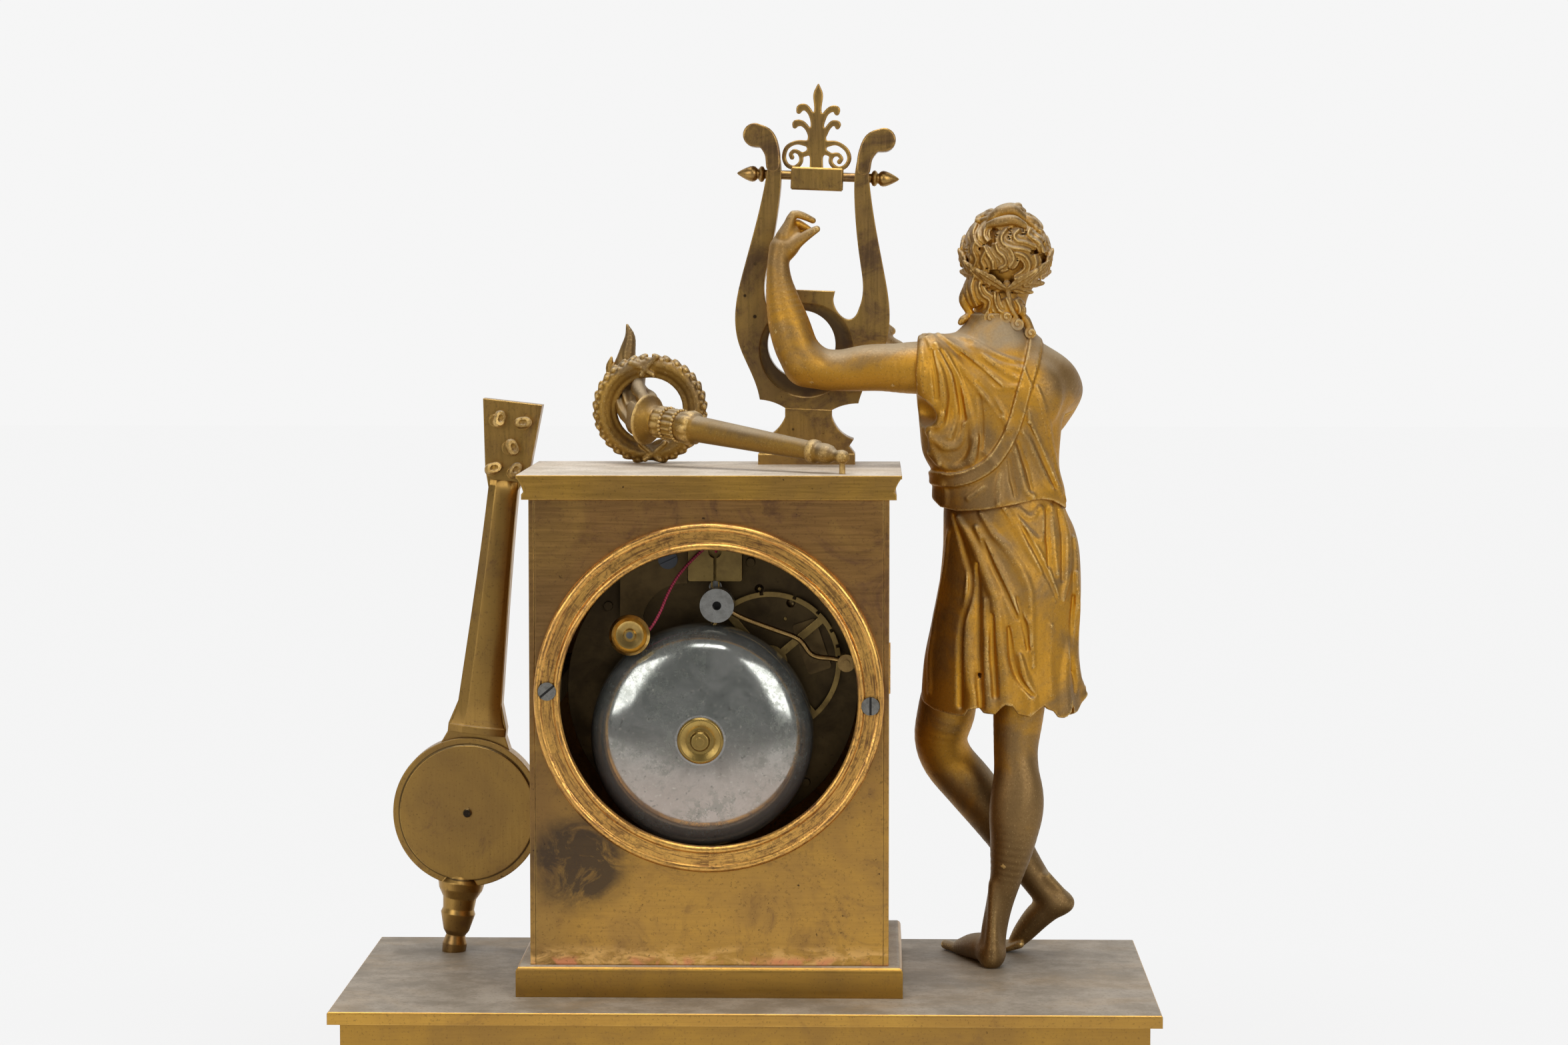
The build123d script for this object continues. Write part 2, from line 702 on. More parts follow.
# Front plate, with the four pillars riveted to it and the minute wheel's stud
with BuildPart() as front_plate:
    movement_plate(plate_front, front_face, front_holes)
    for place in pillar_places:
        rod_y(place, inner, plate_front + 0.5, pillar_radius)
        rod_y(place, plate_rear - 1.2, inner + 0.5, pillar_pin_radius)
    rod_y(minute_at, front_face - 0.5, hour_level[1] + 0.6, stud_pin_radius)
    rod_y(minute_at, hour_level[1] + 0.6, hour_level[1] + 1.4, 1.8)
    rod_y(minute_at, front_face - 0.5, minute_level[0] - 0.2, 2.4)
save(front_plate, "front_plate")


def barrel(place, partner):
    """A spring barrel with its great wheel, and a bore for the winding arbor."""
    toothed(place, great_teeth, great_module, *great_level, bearing(place, partner))
    rod_y(place, great_level[1] - 0.2, drum_level[1], 0.46 * great_teeth * great_module)
    rod_y(place, drum_level[0] + 2, drum_level[1] - 1, 0.42 * great_teeth * great_module, Mode.SUBTRACT)
    rod_y(place, drum_level[0] + 2, drum_level[1] + 0.0, 0.36 * great_teeth * great_module, Mode.SUBTRACT)
    rod_y(place, great_level[0] - 1, drum_level[1] + 1, winding_radius + running_gap, Mode.SUBTRACT)


def mainspring(place):
    """A flat spring wound as a spiral from the arbor's hub to the barrel's wall."""
    turns = 5
    steps = 20 * turns
    hub = winding_radius + 1.4
    wall = 0.405 * great_teeth * great_module
    inside = []
    outside = []
    for step in range(steps + 1):
        angle = 2 * pi * turns * step / steps
        radius = hub + (wall - hub - 0.7) * step / steps
        inside.append((radius * cos(angle), radius * sin(angle)))
        outside.append(((radius + 0.7) * cos(angle), (radius + 0.7) * sin(angle)))
    with BuildSketch(upright(drum_level[0] + 2.5, place[0], place[1])) as spiral:
        with BuildLine():
            inner_edge = Spline(*inside)
            outer_edge = Spline(*outside)
            Line(inner_edge @ 0, outer_edge @ 0)
            Line(inner_edge @ 1, outer_edge @ 1)
        make_face()
    extrude(spiral.sketch, amount=-(drum_level[1] - drum_level[0] - 4.0))


with BuildPart() as going_barrel:
    barrel(going_at, between_at)
save(going_barrel, "going_barrel")

with BuildPart() as strike_barrel:
    barrel(strike_at, count_at)
save(strike_barrel, "strike_barrel")

with BuildPart() as mainsprings:
    mainspring(going_at)
    mainspring(strike_at)
save(mainsprings, "mainsprings")

# Winding arbors: each with its ratchet in front of the plate and a square for the key
ratchet_teeth = 24
ratchet_radius = 6.5
ratchet_level = (front_face + 0.3, front_face + 1.8)
square_end = dial_back + dial_thickness + 1.0


def winding_arbor(place):
    """A barrel arbor with a ratchet wheel and a key square."""
    rod_y(place, great_level[0], front_face + 3, winding_radius)
    rod_y(place, plate_rear + end_shake, great_level[0] + 0.1, arbor_radius)
    points = []
    for tooth in range(ratchet_teeth):
        angle = radians(tooth * 360 / ratchet_teeth)
        after = radians((tooth + 0.15) * 360 / ratchet_teeth)
        points.append((ratchet_radius * cos(angle), ratchet_radius * sin(angle)))
        points.append(((ratchet_radius - 1.1) * cos(after), (ratchet_radius - 1.1) * sin(after)))
    with BuildSketch(upright(ratchet_level[0], place[0], place[1])) as ratchet:
        with BuildLine():
            Polyline(*points, close=True)
        make_face()
    extrude(ratchet.sketch, amount=ratchet_level[0] - ratchet_level[1])
    with BuildSketch(upright(front_face + 3, place[0], place[1])) as square:
        Rectangle(1.3 * winding_radius, 1.3 * winding_radius)
    extrude(square.sketch, amount=front_face + 3 - square_end)


with BuildPart() as going_winding_arbor:
    winding_arbor(going_at)
save(going_winding_arbor, "going_winding_arbor")

with BuildPart() as strike_winding_arbor:
    winding_arbor(strike_at)
save(strike_winding_arbor, "strike_winding_arbor")

# Clicks: each a small pawl on a stud, its nose in a gap of the ratchet
click_reach = ratchet_radius + 5.0
with BuildPart() as clicks:
    for place in (going_at, strike_at):
        stud = (place[0], place[1] - click_reach)
        rod_y(stud, front_face, ratchet_level[1] + 0.6, 2.2)
        with BuildSketch(upright(ratchet_level[0] + 0.1, place[0], place[1])) as pawl:
            with BuildLine():
                Polyline((-1.6, -click_reach), (1.6, -click_reach), (1.2, -ratchet_radius - 0.4),
                         (0.2, -ratchet_radius - 0.3), close=True)
            make_face()
        extrude(pawl.sketch, amount=-1.2)
save(clicks, "clicks")

# Centre arbor: pinion, centre wheel and the cannon pinion that carries the minute hand
with BuildPart() as centre_arbor:
    arbor(centre_at, front_to=minute_hand_level + 1.6, front_radius=centre_arbor_radius)
    to_between = bearing(centre_at, between_at)
    toothed(centre_at, second_pinion, second_module, *second_pinion_level, to_between, True)
    toothed(centre_at, centre_teeth, centre_module, *centre_level, bearing(centre_at, third_at), arms=4)
    toothed(centre_at, cannon_teeth, cannon_module, *cannon_level, minute_bearing, True)
save(centre_arbor, "centre_arbor")

with BuildPart() as intermediate_arbor:
    arbor(between_at)
    toothed(between_at, great_pinion, great_module, *great_pinion_level, bearing(between_at, going_at), True)
    toothed(between_at, second_teeth, second_module, *second_level, bearing(between_at, centre_at), arms=4)
save(intermediate_arbor, "intermediate_arbor")

with BuildPart() as third_arbor:
    arbor(third_at)
    toothed(third_at, small_pinion, centre_module, *centre_pinion_level, bearing(third_at, centre_at), True)
    toothed(third_at, third_teeth, third_module, *third_level, bearing(third_at, escape_at), arms=4)
save(third_arbor, "third_arbor")

# Escape arbor: the wheel has pointed teeth
escape_teeth = 30
escape_radius = 8.4
with BuildPart() as escape_arbor:
    arbor(escape_at)
    toothed(escape_at, small_pinion, third_module, *third_pinion_level, bearing(escape_at, third_at), True)
    escape_points = []
    for tooth in range(escape_teeth):
        tip = radians(tooth * 360 / escape_teeth)
        heel = radians((tooth + 0.45) * 360 / escape_teeth)
        escape_points.append((escape_radius * cos(tip), escape_radius * sin(tip)))
        escape_points.append(((escape_radius - 1.8) * cos(heel), (escape_radius - 1.8) * sin(heel)))
    with BuildSketch(upright(escape_level[0], *escape_at)):
        with BuildLine():
            Polyline(*escape_points, close=True)
        make_face()
        Circle(escape_radius - 3, mode=Mode.SUBTRACT)
        Circle(2.2)
        Rectangle(2 * escape_radius - 5.6, 1.2)
        Rectangle(1.2, 2 * escape_radius - 5.6)
    extrude(amount=escape_level[0] - escape_level[1])
save(escape_arbor, "escape_arbor")

# Pallet arbor: anchor over the escape wheel, and outside the plate the crutch with its fork
pallet_drop = pallet_lift - escape_lift
fork_drop = 15.0
fork_half = pendulum_rod_radius + 0.3
with BuildPart() as pallet_arbor:
    arbor(pallet_at, rear_to=crutch_level[0], rear_radius=arbor_radius)
    rod_y(pallet_at, escape_level[0] - 0.5, escape_level[1] + 0.5, 2.4)
    with BuildSketch(upright(escape_level[0] - 0.5, *pallet_at)):
        with BuildLine():
            nose = (escape_radius + 1.6, -pallet_drop + 2.2)
            Polyline((0, 2.2), (4, 1.4), (10.6, -6.2), (nose[0] + 0.4, nose[1] - 1.2), nose)
            Polyline(nose, (8.0, -6.4), (3, -1.4), (0, -1.2))
            Line((0, -1.2), (0, 2.2))
        make_face()
        mirror(about=Plane.YZ)
    extrude(amount=-(escape_level[1] - escape_level[0] + 1.0))
    rod_y(pallet_at, crutch_level[0], crutch_level[1], 2.2)
    with BuildSketch(upright(crutch_level[1], pallet_at[0], pallet_at[1] - fork_drop / 2)):
        Rectangle(1.6, fork_drop)
    extrude(amount=crutch_level[1] - crutch_level[0])
    with BuildSketch(upright(crutch_level[1], pallet_at[0], pallet_at[1] - fork_drop)):
        Rectangle(2 * fork_half + 1.6, 1.8)
    extrude(amount=crutch_level[1] - crutch_level[0])
    for side in (-1, 1):
        tine = (pallet_at[0] + side * (fork_half + 0.4), pallet_at[1] - fork_drop)
        rod_y(tine, crutch_level[1], rod_level - pendulum_rod_radius - 0.5, 0.4)
save(pallet_arbor, "pallet_arbor")

# Motion work: the minute wheel on its stud, and the hour wheel with its pipe and hand
with BuildPart() as minute_wheel:
    toothed(minute_at, minute_teeth, cannon_module, *minute_level, minute_bearing + 180)
    leaf_level = (minute_level[1] - 0.1, hour_level[1] + 0.3)
    toothed(minute_at, minute_pinion, hour_module, *leaf_level, minute_bearing + 180, True)
    rod_y(minute_at, front_face - 0.5, hour_level[1] + 1, stud_pin_radius + running_gap, Mode.SUBTRACT)
save(minute_wheel, "minute_wheel")

pipe_radius = centre_arbor_radius + 1.3


def hand(length, tail, half_width, y0, y1, hub_radius, turn):
    """A slim pierced hand, pointing along its turn, clockwise from twelve as the front shows it."""
    with BuildSketch(upright(y0, *centre_at)) as outline:
        with BuildLine():
            Polyline((0.5, -tail), (0.9, 0), (half_width, 0.62 * length), (0.35, 0.76 * length))
            Polyline((0.35, 0.76 * length), (0.2, length), (0, length))
            Line((0, length), (0, -tail))
            Line((0, -tail), (0.5, -tail))
        make_face()
        mirror(about=Plane.YZ)
        Circle(hub_radius)
        with Locations((0, 0.58 * length)):
            Circle(0.55 * half_width, mode=Mode.SUBTRACT)
    turned = outline.sketch.rotate(Axis((centre_at[0], 0, centre_at[1]), (0, 1, 0)), -turn)
    extrude(turned, amount=y0 - y1)


with BuildPart() as hour_wheel:
    toothed(centre_at, hour_teeth, hour_module, *hour_level, minute_bearing, arms=4)
    rod_y(centre_at, hour_level[0], hand_level + 1.0, pipe_radius)
    hand(27.0, 6.0, 3.4, hand_level, hand_level + 0.8, 3.8, 304)
    rod_y(centre_at, hour_level[0] - 1, hand_level + 2, centre_arbor_radius + running_gap, Mode.SUBTRACT)
save(hour_wheel, "hour_wheel")

with BuildPart() as minute_hand:
    hand(40.0, 9.0, 2.6, minute_hand_level, minute_hand_level + 0.8, 3.2, 48)
    rod_y(centre_at, minute_hand_level - 1, minute_hand_level + 2, centre_arbor_radius, Mode.SUBTRACT)
save(minute_hand, "minute_hand")

# Dial: a disc with hour bars, on three feet that stand on the front plate
dial_foot_circle = 43.0
with BuildPart() as dial:
    rod_y(centre_at, dial_back, dial_back + dial_thickness, dial_radius)
    for hour in range(12):
        with BuildSketch(upright(dial_back + dial_thickness, *centre_at)):
            with Locations(Rot(0, 0, 30 * hour) * Pos(0, 37)):
                Rectangle(1.6, 7)
        extrude(amount=-0.3)
    rod_y(centre_at, dial_back - 1, dial_back + 3, pipe_radius + 0.6, Mode.SUBTRACT)
    for place in (going_at, strike_at):
        rod_y(place, dial_back - 1, dial_back + 3, winding_radius + 1.2, Mode.SUBTRACT)
    for angle in (30, 150, 270):
        foot_at = on_movement(dial_foot_circle * cos(radians(angle)), dial_foot_circle * sin(radians(angle)))
        rod_y(foot_at, front_face, dial_back + 0.2, 2.0)
save(dial, "dial")

# Strike train
ring_width = 1.8
count_radius = 24.5
with BuildPart() as count_arbor:
    arbor(count_at, rear_to=count_level[0] - 1.4, rear_radius=count_arbor_radius)
    toothed(count_at, great_pinion, great_module, *great_pinion_level, bearing(count_at, strike_at), True)
    toothed(count_at, second_teeth, second_module, *second_level, bearing(count_at, pin_at), arms=4)
save(count_arbor, "count_arbor")

# Count wheel: a ring with a notch after each hour's run of blows, four arms and a hub
blows = list(range(1, 13))
notch_depth = 1.1
with BuildPart() as count_wheel:
    with BuildSketch(upright(count_level[0], *count_at)):
        Circle(count_radius)
        Circle(count_radius - ring_width, mode=Mode.SUBTRACT)
        Circle(6.0)
        for arm in range(4):
            with Locations(Rot(0, 0, 40 + 90 * arm) * Pos(count_radius / 2, 0)):
                Rectangle(count_radius - ring_width, 2.6)
        for hour in blows:
            passed = sum(blows[:hour])
            with Locations(Rot(0, 0, 360 * passed / sum(blows)) * Pos(count_radius, 0)):
                Rectangle(2 * notch_depth, 1.2, mode=Mode.SUBTRACT)
        Circle(count_arbor_radius, mode=Mode.SUBTRACT)
    extrude(amount=count_level[0] - count_level[1])
save(count_wheel, "count_wheel")

# Pin wheel: ten pins that lift the hammer's tail
pins = 10
pin_circle = 9.3
pin_wheel_radius = 0.5
with BuildPart() as pin_wheel_arbor:
    arbor(pin_at)
    toothed(pin_at, second_pinion, second_module, *second_pinion_level, bearing(pin_at, count_at), True)
    toothed(pin_at, fly_teeth, centre_module, *centre_level, bearing(pin_at, fly_at))
    for pin in range(pins):
        angle = radians(360 * (pin + 0.5) / pins)
        pin_place = (pin_at[0] + pin_circle * cos(angle), pin_at[1] + pin_circle * sin(angle))
        rod_y(pin_place, centre_level[0] - 1.6, centre_level[0] + 0.5, pin_wheel_radius)
save(pin_wheel_arbor, "pin_wheel_arbor")

fly_reach_out = 6.5
with BuildPart() as fly_arbor:
    arbor(fly_at)
    toothed(fly_at, small_pinion, centre_module, *centre_pinion_level, bearing(fly_at, pin_at), True)
    with Locations((fly_at[0], inner + 22.0, fly_at[1])):
        Box(2 * fly_reach_out, 15.0, 0.8)
        Cylinder(1.8, 15.0, rotation=(90, 0, 0))
save(fly_arbor, "fly_arbor")

# Cocks on the back plate: the silk's, which carries the spool, and a small one for the strike train
cock_thickness = 2.0
strike_cock_thickness = 1.0
spool_at = on_movement(-27.0, 20.5)
blued_screw_at = on_movement(-15.3, 44.3)
cock_face = plate_rear - cock_thickness
with BuildPart() as cocks:
    with BuildSketch(upright(plate_rear, *centre_at)):
        with BuildLine():
            Polyline((-8.6, 36.0), (-8.6, 49.0))
            ThreePointArc((-8.6, 49.0), (-21.0, 45.1), (-31.7, 38.4))
            Polyline((-31.7, 38.4), (-31.8, 19.8))
            ThreePointArc((-31.8, 19.8), (-27.5, 15.5), (-23.6, 20.2))
            Line((-23.6, 20.2), (-24.0, 24.5))
            ThreePointArc((-24.0, 24.5), (-19.6, 32.2), (-8.6, 36.0))
        make_face()
    extrude(amount=cock_thickness)
    rod_y(spool_at, plate_rear - 5, plate_rear + 1, 1.2 + running_gap, Mode.SUBTRACT)
    slotted_head(blued_screw_at, cock_face, 3.3, 1.2, 25)
    with BuildSketch(upright(plate_rear, *centre_at)):
        with Locations(Pos(34.1, 14.2) * Rot(0, 0, 18.7)):
            RectangleRounded(8.4, 18.0, 1.2)
    extrude(amount=strike_cock_thickness)
    rod_y(on_movement(32.9, 17.9), plate_rear - 1.6, plate_rear - 0.5, 1.5)
    slotted_head(on_movement(35.0, 10.4), plate_rear - strike_cock_thickness, 1.9, 0.6, 60)
save(cocks, "cocks")

# Suspension block: the silk's cheeks, with a round notch over a narrow slot
block_face = plate_rear - block_depth
block_at = on_movement(block_side, block_lift)
with BuildPart() as suspension_block:
    with BuildSketch(upright(plate_rear, block_at[0], block_at[1] + block_height / 2)):
        RectangleRounded(block_width, block_height, 0.8)
    extrude(amount=block_depth)
    notch_at = (block_at[0], block_at[1] + 0.7 * block_height)
    rod_y(notch_at, block_face - 1, block_face + 3, 2.2, Mode.SUBTRACT)
    with BuildSketch(upright(block_face, block_at[0], block_at[1] + 0.35 * block_height)):
        Rectangle(0.9, 0.7 * block_height)
    extrude(amount=-3, mode=Mode.SUBTRACT)
save(suspension_block, "suspension_block")

# Thread spool: a dished knob on a thin drum
knob_back = plate_rear - 23.0
knob_face = knob_back - spool_height
with BuildPart() as thread_spool:
    rod_y(spool_at, knob_back - 0.2, plate_rear - 0.3, 1.2)
    rod_y(spool_at, knob_back - 0.2, knob_back + 4.0, spool_drum_radius)
    turned_y(
        spool_at,
        [
            (0, knob_back),
            (spool_radius - 1.4, knob_back),
            (spool_radius, knob_back - 1.2),
            (spool_radius, knob_face + 0.8),
            (spool_radius - 0.9, knob_face),
            (spool_radius - 2.2, knob_face + 1.4),
            (2.2, knob_face + 1.8),
            (1.8, knob_face + 0.6),
            (0, knob_face + 0.6),
        ],
    )
save(thread_spool, "thread_spool")

# Silk thread: from the spool's drum up to the block's notch
silk_route = [
    (-24.0, 18.4, knob_back + 2.0),
    (-20.6, 23.3, knob_back + 2.4),
    (-11.4, 37.2, knob_back + 9.1),
    (-4.4, 47.2, block_face - silk_radius - 0.2),
    (-0.6, 49.6, block_face - silk_radius),
    (1.6, 48.4, block_face - 0.1),
    (1.4, 47.4, block_face + 1.6),
]
with BuildPart() as silk_thread:
    wire([(pedestal_x + dx, y, axis_z + dz) for dx, dz, y in silk_route], silk_radius)
save(silk_thread, "silk_thread")

# Pendulum: a silk loop under the block, the rod, and a lens bob with its nut
pendulum_x = block_at[0]
bob_z = pallet_at[1] - pendulum_length
hook_z = block_at[1] - 6.0
loop_half = 1.2
with BuildPart() as pendulum:
    for side in (-1, 1):
        with Locations((pendulum_x + side * loop_half, rod_level, (block_at[1] - 0.25 + hook_z) / 2)):
            Cylinder(0.35, block_at[1] - 0.25 - hook_z)
    with Locations((pendulum_x, rod_level, hook_z)):
        Cylinder(0.6, 2 * loop_half + 1.2, rotation=(0, 90, 0))
    with Locations((pendulum_x, rod_level, (hook_z + bob_z - bob_radius - 3) / 2)):
        Cylinder(pendulum_rod_radius, hook_z - bob_z + bob_radius + 3)
    with BuildSketch(Plane(origin=(pendulum_x, rod_level, bob_z))) as lens:
        with BuildLine():
            bulge = (0.7 * bob_radius, 0.3 * bob_thickness)
            ThreePointArc((0, -bob_thickness / 2), (bulge[0], -bulge[1]), (bob_radius, -0.5))
            Line((bob_radius, -0.5), (bob_radius, 0.5))
            ThreePointArc((bob_radius, 0.5), bulge, (0, bob_thickness / 2))
            Line((0, bob_thickness / 2), (0, -bob_thickness / 2))
        make_face()
    revolve(lens.sketch, axis=Axis((pendulum_x, rod_level, bob_z), (0, 1, 0)))
    with Locations((pendulum_x, rod_level, bob_z - bob_radius - 1.6)):
        Cylinder(2.4, 2.0)
save(pendulum, "pendulum")

# Hammer: head, bent wire arm, collet, arbor, and inside the plates the tail that the pins lift
head_at = on_movement(2.1, 29.8)
head_back = plate_rear - 9.3
tail_level = (centre_level[0] - 1.4, centre_level[0] - 0.4)
tail_length = 14.0
with BuildPart() as hammer:
    rod_y(head_at, head_back - hammer_length, head_back, hammer_radius)
    arm_route = [(6.4, 27.2), (17.3, 22.4), (25.6, 19.5), (30.5, 17.0), (34.0, 12.6), (40.0, 11.2)]
    arm_route.append((hammer_side, hammer_lift))
    wire([(pedestal_x + dx, arm_level, axis_z + dz) for dx, dz in arm_route], hammer_wire)
    rod_y(head_at, head_back - hammer_length - 1, head_back - hammer_length + 4, hammer_hole, Mode.SUBTRACT)
    arbor(hammer_at, rear_to=arm_level - 2.0, rear_radius=hammer_arbor_radius)
    rod_y(hammer_at, arm_level - 1.5, arm_level + 1.5, 3.0)
    with BuildSketch(upright(tail_level[1], *hammer_at)):
        with Locations(Rot(0, 0, bearing(hammer_at, pin_at)) * Pos(tail_length / 2, 0)):
            Rectangle(tail_length, 1.8)
    extrude(amount=tail_level[1] - tail_level[0])
save(hammer, "hammer")

# Bell: a saucer with a nearly flat crown and a steep side, on its stud


def crown_drop(radius, rise, at):
    """How far the saucer has dropped below its crown at a distance from its axis."""
    return rise * (1 - (1 - (at / radius) ** 4) ** 0.25)


def bell_profile(radius, rise, crown):
    """Half of a saucer's section, from the crown out to the rim."""
    shares = (0, 0.3, 0.55, 0.72, 0.84, 0.92, 0.97, 0.993, 1)
    rows = [(share * radius, crown + crown_drop(radius, rise, share * radius)) for share in shares]
    return Spline(*rows, tangents=((1, 0), (0, 1)))


with BuildPart() as bell:
    with BuildSketch(Plane(origin=(bell_at[0], 0, bell_at[1]))):
        with BuildLine():
            outside = bell_profile(bell_radius, bell_rise, bell_top)
            inside = bell_profile(bell_radius - bell_wall, bell_rise - bell_wall, bell_top + bell_wall)
            Line(outside @ 1, inside @ 1)
            Line(inside @ 0, outside @ 0)
        make_face()
    revolve(axis=Axis((bell_at[0], 0, bell_at[1]), (0, 1, 0)))
    rod_y(bell_at, bell_top - 2, bell_rim, bell_stud_radius + running_gap, Mode.SUBTRACT)
save(bell, "bell")

# Bell stand: a post at the plate's left, a bar inside the bell and a stud, with the washer and the nut
post_at = on_movement(-25.4, -29.4)
bar_level = (bell_rim - 5.0, bell_rim - 2.0)
with BuildPart() as bell_stand:
    rod_y(post_at, bar_level[0], plate_rear, 2.4)
    rod_y(post_at, plate_rear - 1.5, plate_rear, 4.0)
    bar_length = hypot(post_at[0] - bell_at[0], post_at[1] - bell_at[1])
    with BuildSketch(upright(bar_level[1], *post_at)):
        with Locations(Rot(0, 0, bearing(post_at, bell_at)) * Pos(bar_length / 2, 0)):
            SlotCenterToCenter(bar_length, 6.0)
    extrude(amount=bar_level[1] - bar_level[0])
    rod_y(bell_at, bar_level[0] + 0.5, nut_face - 1.0, bell_stud_radius)
    rod_y(bell_at, bar_level[0], bell_top + bell_wall + 0.2, 3.6)
    with BuildPart(mode=Mode.PRIVATE) as nut_and_washer:
        turned_y(bell_at, [
            (bell_stud_radius, bell_top),
            (washer_radius, bell_top),
            (washer_radius, bell_top - 0.6 * washer_thickness),
            (washer_radius - 0.6, bell_top - washer_thickness),
            (washer_radius - 1.1, bell_top - washer_thickness),
            (nut_radius + 1.2, bell_top - washer_dish),
            (nut_radius, bell_top - washer_dish),
            (nut_radius, nut_face + 0.7),
            (nut_radius - 0.6, nut_face),
            (bell_stud_radius, nut_face),
        ])
    add(nut_and_washer.part)
save(bell_stand, "bell_stand")

# Figure: a draped player seen from behind, cast in seven pieces that meet on flat joints
sleeve_x = -29.5
shoulder_y = 12.0
neck_height = 226.0
with BuildPart() as figure_skirt:
    limb(
        [
            (2.5, 2, hem_height, 29, 21),
            (2.5, 1.5, 106, 27.8, 20.2),
            (2.6, 1, 121, 26.6, 19.2),
            (3.8, 0, 143, 24.4, 17),
            (1.7, 0, waist_height, 21.5, 14.5),
        ],
        figure_origin,
        way=(0, 0, 1),
    )
save(figure_skirt, "figure_skirt")

with BuildPart() as figure_torso:
    limb(
        [
            (1.7, 0, waist_height, 21.5, 14.5),
            (-1.3, 0, 176, 22.6, 13.5),
            (-0.8, 0, 191, 25, 14.5),
            (0, -1, 204, 27, 14),
            (-2, -1, 214, 21.5, 12),
            (-3, -0.5, 221, 13, 10),
            (-2.5, 0.5, neck_height, 9.8, 9.2),
        ],
        figure_origin,
        way=(0, 0, 1),
    )
    limb([(19, -2, 206, 9, 9), (21, shoulder_y, 202, 8.4, 8.4)], figure_origin, way=(0, 1, 0))
    limb(
        [(-6, -3, 209, 9.5, 10), (-18, -5, 210.5, 10, 10.5), (sleeve_x, -7.5, 211, 9.6, 9.6)],
        figure_origin,
        across=(0, 0, 1),
    )
    with Locations((figure_x + sleeve_x - 10, figure_y, base_top + 211)):
        Box(20, 60, 60, mode=Mode.SUBTRACT)
save(figure_torso, "figure_torso")

with BuildPart() as figure_head:
    limb(
        [
            (-2.5, 0.5, neck_height, 9.8, 9.2),
            (-1.2, 2, 231, 9.4, 9.4),
            (0.6, 3, 237.5, 11, 12),
            (1.6, 4, 246, 14.4, 15.5),
            (2.2, 4, 254, 15.8, 16.5),
            (2.8, 3.5, 262, 12.2, 13),
            (3, 3, 266.6, 3.5, 4),
        ],
        figure_origin,
        way=(0, 0, 1),
    )
save(figure_head, "figure_head")

with BuildPart() as figure_left_arm:
    limb(
        [(sleeve_x, -7.5, 210, 8.6, 8.6), (-42, -8.5, 210, 7.6, 7.9), (-56, -9.5, 210.3, 7.2, 7.3),
         (-69, -10, 211.5, 6.6, 6.6)],
        figure_origin,
        across=(0, 0, 1),
    )
    with Locations((figure_x - 69, figure_y - 10, base_top + 212)):
        Sphere(7.0)
    limb(
        [(-70.5, -10, 213, 6.7, 6.5), (-73.2, -9.5, 222, 7, 6.6), (-76, -8.8, 232, 5.6, 5.6),
         (-77.6, -8, 241, 4.2, 4.4), (-77.5, -7, 248, 3.5, 3.8), (-75.5, -5.5, 254, 4.8, 3.6),
         (-71.5, -4, 259.5, 4.2, 3), (-66.5, -3, 262, 1.6, 1.6)],
        figure_origin,
    )
    with Locations((figure_x + sleeve_x + 20, figure_y, base_top + 211)):
        Box(40, 60, 60, mode=Mode.SUBTRACT)
save(figure_left_arm, "figure_left_arm")

with BuildPart() as figure_right_arm:
    limb(
        [(21, shoulder_y, 202, 8.4, 8.4), (19, 19.5, 196.5, 7.9, 7.9), (14.5, 27, 189.8, 7.4, 7.4),
         (8.5, 30.5, 187.6, 7.2, 7.2), (1, 30.5, 191, 6.9, 6.9), (-9, 29.5, 197.4, 6.3, 6.3),
         (-20, 27.5, 204, 5, 5), (-32, 25, 212, 3.8, 3.8), (-38, 24, 217, 4.6, 3.6), (-43, 23, 222, 4, 3),
         (-47, 22, 225, 2, 1.8)],
        figure_origin,
        across=(0, 0, 1),
        start=(0, 1, 0),
    )
save(figure_right_arm, "figure_right_arm")

with BuildPart() as figure_left_leg:
    limb(
        [(-17.6, 5, hem_height + 4, 10.6, 11), (-20.4, 10, 79, 9.4, 10), (-18.4, 13.5, 70, 9.4, 9.6),
         (-7.5, 15, 58, 9.2, 9), (5, 16, 42, 7.4, 7.2), (14.6, 16, 27, 5.6, 5.6), (19, 15.5, 20, 5.2, 5.4)],
        figure_origin,
    )
    limb(
        [(26, 14.5, 18, 4, 4), (22, 15.2, 16.5, 6, 5.4), (14, 17.5, 10.5, 5, 5.8),
         (7.5, 19.5, 4.4, 3.6, 6.2), (3.5, 20.3, 1.6, 1.8, 4.6)],
        figure_origin,
        across=(0, 0, 1),
    )
    with Locations((figure_x, figure_y, base_top - 10)):
        Box(120, 90, 20, mode=Mode.SUBTRACT)
    with Locations((figure_x, figure_y, base_top + hem_height + 10)):
        Box(120, 90, 20, mode=Mode.SUBTRACT)
save(figure_left_leg, "figure_left_leg")

